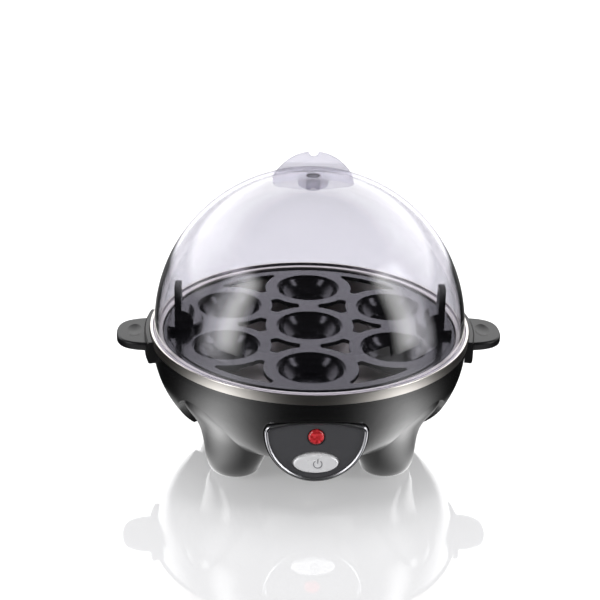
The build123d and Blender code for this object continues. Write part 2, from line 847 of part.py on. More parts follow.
with BuildPart() as lamp_holder:
    with BuildSketch(panel_offset(-pod_set_back - lens_flange)):
        with Locations((0, lens_rise)):
            Circle(lamp_radius)
    extrude(amount=-lamp_length)
    with BuildSketch(panel_offset(-pod_depth)):
        with Locations((0, lens_rise)):
            Circle(lamp_radius + lamp_flange_lip)
            Circle(lamp_radius - thin, mode=Mode.SUBTRACT)
    extrude(amount=-lamp_flange)
save(lamp_holder, "lamp_holder")

button_flange_front = -pod_set_back - slide_gap / 2
with BuildPart() as power_button:
    with BuildSketch(panel_offset(button_flange_front)):
        with Locations((0, -button_drop)):
            Ellipse(button_length / 2 + button_lip, button_height / 2 + button_lip)
    extrude(amount=-button_flange)
    with BuildSketch(panel_offset(button_flange_front)):
        with Locations((0, -button_drop)):
            Ellipse(button_length / 2, button_height / 2)
    extrude(amount=button_proud + button_dome - button_flange_front)
    fillet(power_button.faces().sort_by(panel_axis)[-1].edges(), radius=button_dome)
    with BuildSketch(panel_offset(button_flange_front - button_flange)):
        with Locations((0, -button_drop)):
            Circle(stem_radius)
    extrude(amount=-stem_length)
save(power_button, "power_button")

spring_front = button_flange_front - button_flange - fit_gap
spring_reach = spring_front + pod_depth - 2 * spring_wire - fit_gap
with BuildPart() as button_spring:
    with BuildLine():
        coil = Helix(spring_reach / spring_turns, spring_reach, spring_radius)
    with BuildSketch(coil ^ 0):
        Circle(spring_wire)
    sweep()
spring_seat = Pos(0, -button_drop, spring_wire + fit_gap - pod_depth)
button_spring.part = button_spring.part.moved(panel_plane.location * spring_seat)
save(button_spring, "button_spring")

with BuildPart() as switch_body:
    with BuildSketch(panel_offset(-pod_depth)):
        with Locations((0, switch_rise - button_drop)):
            Rectangle(switch_width + 2 * switch_flange_lip, switch_height)
    extrude(amount=-switch_flange)
    with BuildSketch(panel_offset(-pod_depth - switch_flange)):
        with Locations((0, switch_rise - button_drop)):
            Rectangle(switch_width, switch_height)
    extrude(amount=switch_flange - switch_depth)
    with BuildSketch(panel_offset(-pod_depth)):
        with Locations((0, -button_drop)):
            Circle(stem_radius + slide_gap)
    extrude(amount=pod_depth - stem_length - button_travel - switch_stem_room, mode=Mode.SUBTRACT)
save(switch_body, "switch_body")

# Heater under the dish
spreader_under = dish_under - spreader_thickness
stud_places = [(-stud_offset, 0), (stud_offset, 0)]
bracket_top = spreader_under - thermostat_height
bracket_under = bracket_top - bracket_sheet

with BuildPart() as heat_spreader:
    with BuildSketch(Plane.XY.offset(spreader_under)):
        Circle(spreader_radius)
    extrude(amount=spreader_thickness)
save(heat_spreader, "heat_spreader")

with BuildPart() as heating_element:
    tube_height = spreader_under - element_tube - fit_gap
    with BuildSketch(Plane.XZ):
        with Locations((element_radius, tube_height)):
            Circle(element_tube)
    revolve(axis=Axis.Z, revolution_arc=360 - element_gap_angle)
    for end in (0, -element_gap_angle):
        tip = (element_radius * cos(radians(end)), element_radius * sin(radians(end)))
        with BuildSketch(Plane.XY.offset(tube_height)):
            with Locations(tip):
                Circle(element_pin)
        extrude(amount=-pin_length)
heating_element.part = heating_element.part.rotate(Axis.Z, element_gap_angle / 2 + 90)
save(heating_element, "heating_element")

with BuildPart() as heater_studs:
    with BuildSketch(Plane.XY.offset(spreader_under)):
        with Locations(*stud_places):
            Circle(stud_radius)
    extrude(amount=-stud_length)
save(heater_studs, "heater_studs")

with BuildPart() as thermostat:
    with BuildSketch(Plane.XY.offset(spreader_under)):
        Circle(thermostat_radius)
    extrude(amount=-thermostat_height)
    with BuildSketch(Plane.XY.offset(spreader_under - thermostat_height / 3)):
        Circle(thermostat_radius)
        Circle(thermostat_radius - thermostat_skirt, mode=Mode.SUBTRACT)
    extrude(amount=-thermostat_height * 2 / 3, mode=Mode.SUBTRACT)
    with BuildSketch(Plane.XY.offset(spreader_under - thermostat_height / 2)):
        with Locations((0, thermostat_radius), (0, -thermostat_radius)):
            Rectangle(thermostat_tab, thermostat_tab)
    extrude(amount=-thermostat_tab_sheet)
save(thermostat, "thermostat")

with BuildPart() as thermostat_bracket:
    with BuildSketch(Plane.XY.offset(bracket_under)):
        SlotCenterToCenter(2 * stud_offset, bracket_width)
        with Locations(*stud_places):
            Circle(stud_radius + fit_gap, mode=Mode.SUBTRACT)
    extrude(amount=bracket_sheet)
save(thermostat_bracket, "thermostat_bracket")

with BuildPart() as heater_nuts:
    with BuildSketch(Plane.XY.offset(bracket_under)):
        with Locations(*stud_places):
            RegularPolygon(nut_radius, 6)
            Circle(stud_radius + fit_gap, mode=Mode.SUBTRACT)
    extrude(amount=-nut_height)
save(heater_nuts, "heater_nuts")

fuse_height = spreader_under - fuse_radius - fit_gap
with BuildPart() as thermal_fuse:
    with BuildSketch(Plane.YZ.offset(-fuse_length / 2)):
        with Locations((fuse_offset, fuse_height)):
            Circle(fuse_radius)
    extrude(amount=fuse_length)
    fillet(thermal_fuse.edges(), radius=fuse_radius / 3)
    with BuildSketch(Plane.YZ.offset(-fuse_length / 2 - fuse_tail)):
        with Locations((fuse_offset, fuse_height)):
            Circle(fuse_wire)
    extrude(amount=fuse_length + 2 * fuse_tail)
save(thermal_fuse, "thermal_fuse")

with BuildPart() as fuse_clip:
    hug = fuse_radius + fit_gap
    legs = spreader_under - fuse_height
    with BuildSketch(Plane.YZ.offset(-clip_width / 2)):
        with Locations((fuse_offset, fuse_height)):
            Circle(hug + clip_sheet)
            Rectangle(2 * (hug + clip_sheet), legs, align=(Align.CENTER, Align.MIN))
        with Locations((fuse_offset, spreader_under)):
            Rectangle(2 * (hug + clip_sheet + clip_foot), clip_sheet, align=(Align.CENTER, Align.MAX))
        with Locations((fuse_offset, fuse_height)):
            Circle(hug, mode=Mode.SUBTRACT)
            Rectangle(2 * hug, legs, align=(Align.CENTER, Align.MIN), mode=Mode.SUBTRACT)
        with Locations((fuse_offset, spreader_under)):
            Rectangle(4 * hug, 2 * hug, align=(Align.CENTER, Align.MIN), mode=Mode.SUBTRACT)
    extrude(amount=clip_width)
save(fuse_clip, "fuse_clip")

# Pieces on the housing floor
with BuildPart() as buzzer:
    with BuildSketch(Plane.XY.offset(floor_top)):
        with Locations((buzzer_offset, 0)):
            Circle(buzzer_radius)
    extrude(amount=buzzer_height)
    fillet(buzzer.edges().sort_by(Axis.Z)[-1], radius=1.0)
    with BuildSketch(Plane.XY.offset(floor_top + buzzer_height)):
        with Locations((buzzer_offset, 0)):
            Circle(buzzer_radius / 6)
    extrude(amount=-buzzer_height / 2, mode=Mode.SUBTRACT)
save(buzzer, "buzzer")

with BuildPart() as terminal_block:
    with BuildSketch(Plane.XY.offset(floor_top)):
        with Locations((0, terminal_offset)):
            Rectangle(terminal_length, terminal_depth)
    extrude(amount=terminal_height)
    with BuildSketch(Plane.XY.offset(floor_top + terminal_height)):
        with Locations((0, terminal_offset)):
            with GridLocations(terminal_length / 3, 0, 3, 1):
                Circle(terminal_bore)
    extrude(amount=-terminal_height * 0.7, mode=Mode.SUBTRACT)
    with BuildSketch(Plane.XY.offset(floor_top + terminal_height)):
        with Locations((0, terminal_offset)):
            with GridLocations(terminal_length / 3, 0, 2, 1):
                Rectangle(terminal_groove, terminal_depth)
    extrude(amount=-terminal_height / 3, mode=Mode.SUBTRACT)
save(terminal_block, "terminal_block")

# Bottom cover, its screws and the feet
with BuildPart() as bottom_cover:
    with BuildSketch(Plane.XY.offset(floor_height - cover_thickness)):
        Circle(cover_radius)
        with PolarLocations(cover_screw_radius, 4):
            Circle(screw_radius + screw_play, mode=Mode.SUBTRACT)
        for side in (-1, 1):
            with Locations((0, side * cover_slot_pitch * 2.5)):
                with GridLocations(0, cover_slot_pitch, 1, 4):
                    SlotOverall(cover_slot_length, cover_slot_width, mode=Mode.SUBTRACT)
    extrude(amount=cover_thickness)
    with BuildSketch(Plane.XY.offset(floor_height)):
        Circle(floor_opening - rest_gap)
        Circle(floor_opening - rest_gap - cover_rim, mode=Mode.SUBTRACT)
    extrude(amount=floor_thickness)
    fillet(bottom_cover.edges().sort_by(Axis.Z)[0], radius=cover_thickness / 2)
save(bottom_cover, "bottom_cover")

with BuildPart() as cover_screws:
    under = floor_height - cover_thickness
    for turn in range(0, 360, 90):
        origin = (cover_screw_radius * cos(radians(turn)), cover_screw_radius * sin(radians(turn)), under)
        add(screw(Plane(origin=origin, x_dir=(1, 0, 0), z_dir=(0, 0, -1)), cover_screw_length))
save(cover_screws, "cover_screws")

with BuildPart() as rubber_feet:
    with BuildSketch(Plane.XY):
        with Locations(*foot_places):
            Circle(foot_pad_radius)
    extrude(amount=foot_pad_height)
    fillet(rubber_feet.edges().group_by(Axis.Z)[0], radius=foot_pad_edge)
save(rubber_feet, "rubber_feet")

# Bush that the mains cord passes through
with BuildPart() as cord_bush:
    with BuildSketch(inlet_plane):
        Circle(bush_flange_radius)
    extrude(amount=bush_flange)
    fillet(cord_bush.faces().sort_by(Axis.Y)[-1].edges(), radius=bush_flange / 2)
    with BuildSketch(inlet_plane):
        Circle(bush_radius)
    extrude(amount=-bush_length)
    with BuildSketch(inlet_plane.offset(bush_flange)):
        Circle(bush_bore)
    extrude(amount=-bush_flange - bush_length, mode=Mode.SUBTRACT)
save(cord_bush, "cord_bush")
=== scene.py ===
import bpy
import json
from math import asin, atan2, cos, degrees, hypot, pi, radians, sin, sqrt, tan
from mathutils import Matrix, Vector


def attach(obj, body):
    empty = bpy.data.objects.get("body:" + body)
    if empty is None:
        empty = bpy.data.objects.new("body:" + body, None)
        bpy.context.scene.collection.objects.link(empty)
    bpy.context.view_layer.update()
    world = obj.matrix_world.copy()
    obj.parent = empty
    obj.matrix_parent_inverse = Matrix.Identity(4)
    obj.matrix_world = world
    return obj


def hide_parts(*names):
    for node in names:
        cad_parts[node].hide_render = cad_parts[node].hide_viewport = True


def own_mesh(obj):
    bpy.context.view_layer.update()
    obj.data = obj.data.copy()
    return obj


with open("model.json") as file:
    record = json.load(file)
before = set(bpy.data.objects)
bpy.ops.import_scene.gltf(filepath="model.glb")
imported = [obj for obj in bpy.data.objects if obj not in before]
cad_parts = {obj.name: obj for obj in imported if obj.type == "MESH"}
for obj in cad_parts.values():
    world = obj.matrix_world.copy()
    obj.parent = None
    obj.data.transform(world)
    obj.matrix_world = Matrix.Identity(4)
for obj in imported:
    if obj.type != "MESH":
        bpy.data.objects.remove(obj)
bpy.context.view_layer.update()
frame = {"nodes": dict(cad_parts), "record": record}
mm = 0.001
nodes = frame["nodes"]
bodies = {name: body for body, names in frame["record"]["behaviour"]["bodies"].items() for name in names}
print("frame loaded,", len(nodes), "nodes")


# Helpers for colours and materials

def srgb(hexColour):
    channels = [int(hexColour[i:i + 2], 16) / 255 for i in (1, 3, 5)]
    linear = [c / 12.92 if c <= 0.04045 else ((c + 0.055) / 1.055) ** 2.4 for c in channels]
    return (linear[0], linear[1], linear[2], 1.0)


def addNode(tree, kind, settings=None, inputs=None, links=None):
    node = tree.nodes.new(kind)
    for key, value in (settings or {}).items():
        setattr(node, key, value)
    for key, value in (inputs or {}).items():
        node.inputs[key].default_value = value
    for key, socket in (links or {}).items():
        tree.links.new(socket, node.inputs[key])
    return node


# Node tree of a new material or world, with nothing in it
def emptyTree(owner):
    owner.use_nodes = True
    owner.node_tree.nodes.clear()
    return owner.node_tree


def newMaterial(name, surface):
    material = bpy.data.materials.new(name)
    tree = emptyTree(material)
    shader = addNode(tree, "ShaderNodeBsdfPrincipled", inputs=surface)
    addNode(tree, "ShaderNodeOutputMaterial", links={"Surface": shader.outputs["BSDF"]})
    return material, tree, shader


def dress(obj, material):
    obj.data.materials.clear()
    obj.data.materials.append(material)


# What the eye sees, straight or through the clear plastic
def addSeen(tree, ray):
    either = addNode(tree, "ShaderNodeMath", {"operation": "MAXIMUM"},
                     links={0: ray.outputs["Is Camera Ray"], 1: ray.outputs["Is Transmission Ray"]})
    return either.outputs[0]


# What gloss mirrors. A ray bent by the clear plastic is marked glossy too, so it is taken off
def addShine(tree, ray):
    left = addNode(tree, "ShaderNodeMath", {"operation": "SUBTRACT", "use_clamp": True},
                   links={0: ray.outputs["Is Glossy Ray"], 1: ray.outputs["Is Transmission Ray"]})
    return left.outputs[0]


# Skin of a moulded, plated or painted piece: wide patches of slightly different gloss, and a
# ripple that softens the edge of a highlight. Real ripple is finer than a pixel of the render,
# so it is drawn wider. Patch, ripple and height are in millimetres
def addSkin(tree, shader, roughness, spread, ripple, height, patch=22):
    place = addNode(tree, "ShaderNodeTexCoord")
    patches = addNode(tree, "ShaderNodeTexNoise", inputs={"Scale": 1 / (patch * mm), "Detail": 3.0},
                      links={"Vector": place.outputs["Object"]})
    gloss = addNode(tree, "ShaderNodeMapRange",
                    inputs={"To Min": roughness - spread, "To Max": roughness + spread},
                    links={"Value": patches.outputs["Fac"]})
    tree.links.new(gloss.outputs["Result"], shader.inputs["Roughness"])
    grain = addNode(tree, "ShaderNodeTexNoise", inputs={"Scale": 1 / (ripple * mm), "Detail": 2.0},
                    links={"Vector": place.outputs["Object"]})
    bump = addNode(tree, "ShaderNodeBump", inputs={"Strength": 0.5, "Distance": height * mm},
                   links={"Height": grain.outputs["Fac"]})
    tree.links.new(bump.outputs["Normal"], shader.inputs["Normal"])


# Housing plastic: deep black with wide soft highlights, which a second layer of gloss strengthens
def makeBlackPlastic():
    material, tree, shader = newMaterial("black polypropylene, gloss moulded", {
        "Base Color": srgb("#080809"), "IOR": 1.5, "Coat Weight": 1.0, "Coat Roughness": 0.2})
    addSkin(tree, shader, roughness=0.24, spread=0.02, ripple=0.6, height=0.012)
    return material


# Tray plastic: a little paler and glossier, so that the shelves and cups mirror the backdrop
def makeTrayPlastic():
    material, tree, shader = newMaterial("black nylon, gloss moulded tray", {
        "Base Color": srgb("#121214"), "IOR": 1.53})
    addSkin(tree, shader, roughness=0.17, spread=0.02, ripple=0.8, height=0.012)
    return material


# Clear plastic of the lid: faintly cool, with sharp edges and a clean shine. Soft light, shadow
# and the shine of the pieces inside go straight through it. Straight is the share of the view
# that does too: none in the dome, and most in the thick handle, which would look dark without it
def makeClearPlastic(name, tint, straight):
    material, tree, shader = newMaterial(name, {
        "Base Color": srgb(tint), "IOR": 1.52, "Transmission Weight": 1.0, "Roughness": 0.02})
    ray = addNode(tree, "ShaderNodeLightPath")
    soft = addNode(tree, "ShaderNodeMath", {"operation": "MAXIMUM"},
                   links={0: ray.outputs["Is Shadow Ray"], 1: ray.outputs["Is Diffuse Ray"]})
    passing = addNode(tree, "ShaderNodeMath", {"operation": "MAXIMUM"},
                      links={0: soft.outputs[0], 1: addShine(tree, ray)})
    share = addNode(tree, "ShaderNodeMath", {"operation": "MAXIMUM"}, {1: straight},
                    {0: passing.outputs[0]})
    clear = addNode(tree, "ShaderNodeBsdfTransparent", inputs={"Color": srgb(tint)})
    both = addNode(tree, "ShaderNodeMixShader",
                   links={0: share.outputs[0], 1: shader.outputs[0], 2: clear.outputs[0]})
    out = next(node for node in tree.nodes if node.type == "OUTPUT_MATERIAL")
    tree.links.new(both.outputs[0], out.inputs["Surface"])
    return material


# Turned or spun metal: fine rings round the axis, which draw a highlight out across them. The
# rings are finer than a pixel on the real piece and drawn wider. Pitch and height in millimetres
def makeTurnedMetal(name, colour, metallic, roughness, pitch, height, spread=0.06):
    material, tree, shader = newMaterial(name, {
        "Base Color": srgb(colour), "Metallic": metallic, "Roughness": roughness})
    place = addNode(tree, "ShaderNodeTexCoord")
    axis = addNode(tree, "ShaderNodeSeparateXYZ", links={"Vector": place.outputs["Object"]})
    flat = addNode(tree, "ShaderNodeCombineXYZ",
                   links={"X": axis.outputs["X"], "Y": axis.outputs["Y"]})
    radial = addNode(tree, "ShaderNodeVectorMath", {"operation": "LENGTH"},
                     links={0: flat.outputs["Vector"]})
    reach = addNode(tree, "ShaderNodeCombineXYZ",
                    links={"X": radial.outputs["Value"], "Y": axis.outputs["Z"]})
    rings = addNode(tree, "ShaderNodeTexNoise", inputs={"Scale": 1 / (pitch * mm), "Detail": 2.0},
                    links={"Vector": reach.outputs["Vector"]})
    bump = addNode(tree, "ShaderNodeBump", inputs={"Strength": 0.6, "Distance": height * mm},
                   links={"Height": rings.outputs["Fac"]})
    tree.links.new(bump.outputs["Normal"], shader.inputs["Normal"])
    gloss = addNode(tree, "ShaderNodeMapRange",
                    inputs={"To Min": roughness - spread, "To Max": roughness + spread},
                    links={"Value": rings.outputs["Fac"]})
    tree.links.new(gloss.outputs["Result"], shader.inputs["Roughness"])
    return material


# Painted, plated or moulded small piece, with a faint grain of its own
def makeSmallFinish(name, colour, metallic, roughness, ripple, height, shine=0.5):
    material, tree, shader = newMaterial(name, {
        "Base Color": srgb(colour), "Metallic": metallic, "Specular IOR Level": shine})
    addSkin(tree, shader, roughness, spread=0.04, ripple=ripple, height=height)
    return material


# Red lens: tinted acrylic with small prisms on its back, drawn as a bump. Each prism is coloured
# between deep and bright red, a painted sparkle in patches. The prisms' width and depth are in
# millimetres
lens = {"deep": "#8c0f15", "bright": "#cf3a40", "prism": 1.25, "prismDepth": 0.12}


def makeRedLens():
    material, tree, shader = newMaterial("red acrylic, polished prism lens", {
        "IOR": 1.49, "Roughness": 0.12, "Coat Weight": 0.6, "Coat Roughness": 0.05})
    place = addNode(tree, "ShaderNodeTexCoord")
    prisms = addNode(tree, "ShaderNodeTexVoronoi", {"distance": "CHEBYCHEV"},
                     {"Scale": 1 / (lens["prism"] * mm), "Randomness": 0.45},
                     {"Vector": place.outputs["Object"]})
    # Painted sparkle: a random share per prism of the bright red, standing in for light the prisms catch
    paintedSparkle = addNode(tree, "ShaderNodeSeparateColor", links={"Color": prisms.outputs["Color"]})
    red = addNode(tree, "ShaderNodeMix", {"data_type": "RGBA"},    # 6 and 7 are its two colours
                  {6: srgb(lens["deep"]), 7: srgb(lens["bright"])}, {0: paintedSparkle.outputs["Red"]})
    tree.links.new(red.outputs[2], shader.inputs["Base Color"])
    bump = addNode(tree, "ShaderNodeBump", inputs={"Strength": 0.35, "Distance": lens["prismDepth"] * mm},
                   links={"Height": prisms.outputs["Distance"]})
    tree.links.new(bump.outputs["Normal"], shader.inputs["Normal"])
    return material


# Finishes of the small pieces: colour, metallic, roughness, ripple and its height in millimetres
smallFinishes = {
    "grey_silicone": ("silicone rubber, moulded", "#6b6b6b", 0.0, 0.6, 0.5, 0.02),    # dull grey
    "zinc_steel": ("steel, bright zinc plated", "#b9b8b2", 1.0, 0.35, 0.3, 0.01),    # cool metal
    "silver_bezel": ("ABS, satin chrome plated", "#adadb1", 1.0, 0.33, 0.4, 0.006),    # a bright line
    "panel_grey": ("ABS, satin moulded panel", "#424245", 0.0, 0.38, 0.25, 0.012),    # even, with sheen
    "white_nylon": ("nylon, moulded natural", "#dedcd2", 0.0, 0.45, 0.4, 0.01),    # waxy off-white
    "silver_button": ("ABS, silver sprayed", "#e4e4e6", 0.25, 0.28, 0.2, 0.008),    # pale, half metal
    "spring_steel": ("spring steel, drawn wire", "#a7a7a6", 1.0, 0.3, 0.2, 0.005),    # bright wire
    "black_nylon": ("black nylon, moulded", "#1a1a1b", 0.0, 0.4, 0.4, 0.01),    # satin black
    "aluminium": ("aluminium, rolled plate", "#c8c8c9", 1.0, 0.35, 0.6, 0.01),    # pale soft metal
    "element_sheath": ("steel, heat oxidised sheath", "#7d776e", 1.0, 0.5, 0.4, 0.02),    # brown, dull
    "ceramic": ("steatite ceramic, unglazed", "#d9d3c4", 0.0, 0.6, 0.5, 0.02),    # dry cream
    "tinned_steel": ("copper, tinned wire and case", "#b8b6b0", 1.0, 0.3, 0.3, 0.005),    # warm white
    "foot_rubber": ("black rubber, moulded", "#1b1b1b", 0.0, 0.65, 0.6, 0.03),    # matt black
}

print("materials")
clearTint = "#e2e1e6"
clearPlastic = makeClearPlastic("clear polycarbonate, polished moulding", clearTint, straight=0.0)
handleClear = makeClearPlastic("clear polycarbonate, polished thick moulding", clearTint, straight=0.78)
rimSteel = makeTurnedMetal("stainless steel, turned and brushed rim", "#c9c5c0",
                           metallic=1.0, roughness=0.30, pitch=0.35, height=0.02)
# The dish is not all metallic, so that it stays pale where it mirrors the dark tray
dishSteel = makeTurnedMetal("stainless steel, satin spun dish", "#dfdad3",
                            metallic=0.82, roughness=0.36, pitch=0.5, height=0.02)
finishes = {slot: makeSmallFinish(*values) for slot, values in smallFinishes.items()}
finishes.update({"black_plastic": makeBlackPlastic(), "gloss_black": makeTrayPlastic(),
                 "clear_plastic": clearPlastic, "brushed_steel": rimSteel,
                 "satin_dish": dishSteel, "red_lens": makeRedLens()})
# Side handles and bottom cover: the housing's plastic from a satin mould, so less shiny
handlePlastic = makeSmallFinish("black polypropylene, satin moulded handle", "#101011",
                                0.0, 0.34, 0.5, 0.015, shine=0.2)
for part in frame["record"]["subparts"]:
    satin = part["material_slot"] == "black_plastic" and part["node"] != "base_housing"
    dress(nodes[part["node"]], handlePlastic if satin else finishes[part["material_slot"]])


# Modelling helpers: outlines are (radius or x, height) in millimetres, angles are in degrees

def arcPoints(centre, radius, start, stop, count):
    angles = [radians(start + (stop - start) * i / count) for i in range(count + 1)]
    return [(centre[0] + radius * cos(a), centre[1] + radius * sin(a)) for a in angles]


# Short way round a centre, from one place to another
def arcBetween(centre, radius, first, last, count):
    start = atan2(first.y - centre.y, first.x - centre.x)
    sweep = (atan2(last.y - centre.y, last.x - centre.x) - start + pi) % (2 * pi) - pi
    return arcPoints(centre, radius, degrees(start), degrees(start + sweep), count)


# Arc through three places, by the centre of the circle that they lie on
def curveThrough(a, b, c, count):
    aa, bb, cc = a.length_squared, b.length_squared, c.length_squared
    area = 2 * (a.x * (b.y - c.y) + b.x * (c.y - a.y) + c.x * (a.y - b.y))
    centre = Vector(((aa * (b.y - c.y) + bb * (c.y - a.y) + cc * (a.y - b.y)) / area,
                     (aa * (c.x - b.x) + bb * (a.x - c.x) + cc * (b.x - a.x)) / area))
    return arcBetween(centre, hypot(a.x - centre.x, a.y - centre.y), a, c, count)


# Rounds chosen corners of an outline; each corner is (x, z) or (x, z, roundness)
def roundCorners(points, closed=False, count=5):
    shaped = []
    for i, point in enumerate(points):
        roundness = point[2] if len(point) > 2 else 0
        if not roundness or (not closed and i in (0, len(points) - 1)):
            shaped.append((point[0], point[1]))
            continue
        here = Vector((point[0], point[1]))
        back = (Vector(points[i - 1][:2]) - here).normalized()
        ahead = (Vector(points[(i + 1) % len(points)][:2]) - here).normalized()
        half = back.angle(ahead) / 2
        centre = here + (back + ahead).normalized() * (roundness / sin(half))
        run = roundness / tan(half)
        shaped += arcBetween(centre, roundness, here + back * run, here + ahead * run, count)
    return shaped


def editAll(obj):
    bpy.ops.object.select_all(action="DESELECT")
    bpy.context.view_layer.objects.active = obj
    obj.select_set(True)
    bpy.ops.object.mode_set(mode="EDIT")
    bpy.ops.mesh.select_all(action="SELECT")


# Turns the faces of a closed shell outwards and leaves edit mode
def faceOutwards():
    bpy.ops.mesh.select_all(action="SELECT")
    bpy.ops.mesh.normals_make_consistent(inside=False)
    bpy.ops.object.mode_set(mode="OBJECT")


def settle(obj):
    bpy.ops.object.select_all(action="DESELECT")
    bpy.context.view_layer.objects.active = obj
    obj.select_set(True)
    bpy.ops.object.transform_apply(location=True, rotation=True, scale=True)
    bpy.ops.object.shade_smooth_by_angle(angle=radians(35))
    return obj


def applyModifier(obj, kind, **settings):
    modifier = obj.modifiers.new(kind.lower(), kind)
    for key, value in settings.items():
        setattr(modifier, key, value)
    bpy.context.view_layer.objects.active = obj
    bpy.ops.object.modifier_apply(modifier=modifier.name)


def carve(obj, tool, operation="DIFFERENCE"):
    applyModifier(obj, "BOOLEAN", operation=operation, object=tool, solver="EXACT")
    bpy.data.objects.remove(tool)


# One vertex drawn on from place to place, with edit mode left on
def drawLine(name, places):
    bpy.ops.object.select_all(action="DESELECT")
    bpy.ops.mesh.primitive_plane_add(size=mm, location=[c * mm for c in places[0]])
    obj = bpy.context.object
    obj.name = name
    bpy.ops.object.transform_apply()
    editAll(obj)
    bpy.ops.mesh.merge(type="CENTER")
    for before, after in zip(places, places[1:]):
        step = [(b - a) * mm for a, b in zip(before, after)]
        bpy.ops.mesh.extrude_vertices_move(TRANSFORM_OT_translate={"value": step})
    bpy.ops.mesh.select_all(action="SELECT")
    bpy.ops.mesh.remove_doubles(threshold=0.001 * mm)
    return obj


# Outline spun about the axis, as on a lathe
def turnOnLathe(name, outline, steps=256, closed=True):
    path = outline + outline[:1] if closed else outline
    obj = drawLine(name, [(x, 0, z) for x, z in path])
    bpy.ops.mesh.spin(steps=steps, angle=2 * pi, center=(0, 0, 0), axis=(0, 0, 1))
    bpy.ops.mesh.select_all(action="SELECT")
    bpy.ops.mesh.remove_doubles(threshold=0.005 * mm)
    faceOutwards()
    return settle(obj)


# Outline filled, extruded along its plane's normal and put in its plane
def drawPrism(name, outline, depth, plane):
    obj = drawLine(name, [(x, y, 0) for x, y in outline + outline[:1]])
    bpy.ops.mesh.edge_face_add()
    bpy.ops.mesh.extrude_region_move(TRANSFORM_OT_translate={"value": (0, 0, depth * mm)})
    faceOutwards()
    obj.data.transform(plane)
    return obj


# Plane whose local x, y and z point along the given directions, at a place in millimetres
def planeAt(origin, across, up, out):
    matrix = Matrix((across, up, out)).transposed().to_4x4()
    matrix.translation = Vector(origin) * mm
    return matrix


# Cylinder on the axis, upright or lying front to back
def addCylinder(radius, length, height, sides, lying=False):
    bpy.ops.object.select_all(action="DESELECT")
    bpy.ops.mesh.primitive_cylinder_add(vertices=sides, radius=radius * mm, depth=length * mm,
                                        location=(0, 0, height * mm),
                                        rotation=(pi / 2 if lying else 0, 0, 0))
    return bpy.context.object


def joinAll(pieces):
    bpy.ops.object.select_all(action="DESELECT")
    for piece in pieces:
        piece.select_set(True)
    bpy.context.view_layer.objects.active = pieces[0]
    bpy.ops.object.join()
    return bpy.context.object


def fit(obj, node, material):
    dress(obj, material)
    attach(obj, bodies[node])
    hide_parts(node)


# Clear dome, which stands in the channel of the rim
dome = {"radius": 90.4, "wall": 2.2, "middle": 76.4, "foot": 74.8, "footRound": 0.5, "hole": 4.05}


def makeDome():
    middle, radius = dome["middle"], dome["radius"]
    bore = radius - dome["wall"]
    holeOut = degrees(asin(dome["hole"] / radius))
    holeIn = degrees(asin(dome["hole"] / bore))
    foot = roundCorners([(radius, middle), (radius, dome["foot"], dome["footRound"]),
                         (bore, dome["foot"], dome["footRound"]), (bore, middle)])
    outside = arcPoints((0, middle), radius, 90 - holeOut, 0, count=72)
    inside = arcPoints((0, middle), bore, 0, 90 - holeIn, count=72)
    shell = turnOnLathe("clearDome", outside + foot[1:-1] + inside)
    fit(shell, "lid_dome", clearPlastic)


# Half-round pinch handle: a thin plate that flares to a thick root on the dome, with a small
# notch in its top and a spigot through the hole of the dome. The waist is how far the flare
# stands out at half of the neck's height, as a share of the root's thickness
handle = {"radius": 23.7, "top": 180.7, "plate": 3.0, "root": 11.0, "neck": 7.6, "waist": 0.125,
          "flareSteps": 12, "notch": 2.8, "notchLength": 20, "edge": 0.45, "domeGap": 0.1,
          "spigot": 4.0, "spigotFoot": 158.3, "spigotSunk": 1.5,
          "cutWidth": 60, "cutBelow": 12, "cutAbove": 1}


def makeLidHandle():
    apex = dome["middle"] + dome["radius"]
    middle = handle["top"] - handle["radius"]
    blank = addCylinder(handle["radius"], handle["root"], middle, sides=160, lying=True)
    blank.name = "lidPinchHandle"
    root, plate = (handle["root"] / 2, apex), (handle["plate"] / 2, apex + handle["neck"])
    waist = (handle["plate"] / 2 + handle["root"] * handle["waist"], apex + handle["neck"] / 2)
    flare = []
    for i in range(handle["flareSteps"] + 1):    # smooth curve from the root by the waist to the plate
        t = i / handle["flareSteps"]
        flare.append(tuple((1 - t) ** 2 * a + 2 * t * (1 - t) * (2 * b - (a + c) / 2) + t * t * c
                           for a, b, c in zip(root, waist, plate)))
    foot, crown = (root[0], apex - handle["cutBelow"]), (plate[0], handle["top"] + handle["cutAbove"])
    profile = [foot] + flare + [crown]
    outline = profile + [(-y, z) for y, z in reversed(profile)]
    side = planeAt((-handle["cutWidth"] / 2, 0, 0), (0, 1, 0), (0, 0, 1), (1, 0, 0))
    carve(blank, drawPrism("flare", outline, handle["cutWidth"], side), "INTERSECT")
    bpy.ops.mesh.primitive_uv_sphere_add(segments=192, ring_count=96,
                                         radius=(dome["radius"] + handle["domeGap"]) * mm,
                                         location=(0, 0, dome["middle"] * mm))
    carve(blank, bpy.context.object)
    carve(blank, addCylinder(handle["notch"], handle["notchLength"], handle["top"], sides=48, lying=True))
    applyModifier(blank, "BEVEL", width=handle["edge"] * mm, segments=3, limit_method="ANGLE",
                  angle_limit=radians(40))
    length = apex + handle["spigotSunk"] - handle["spigotFoot"]
    pin = addCylinder(handle["spigot"], length, handle["spigotFoot"] + length / 2, sides=64)
    carve(blank, pin, "UNION")
    settle(blank)
    fit(blank, "lid_handle", handleClear)


# Ring on the spigot, under the dome: its top slopes as the inside of the dome does
retainer = {"radius": 8.5, "height": 4.2, "gap": 0.1, "holeRound": 0.4, "edgeRound": 0.8}


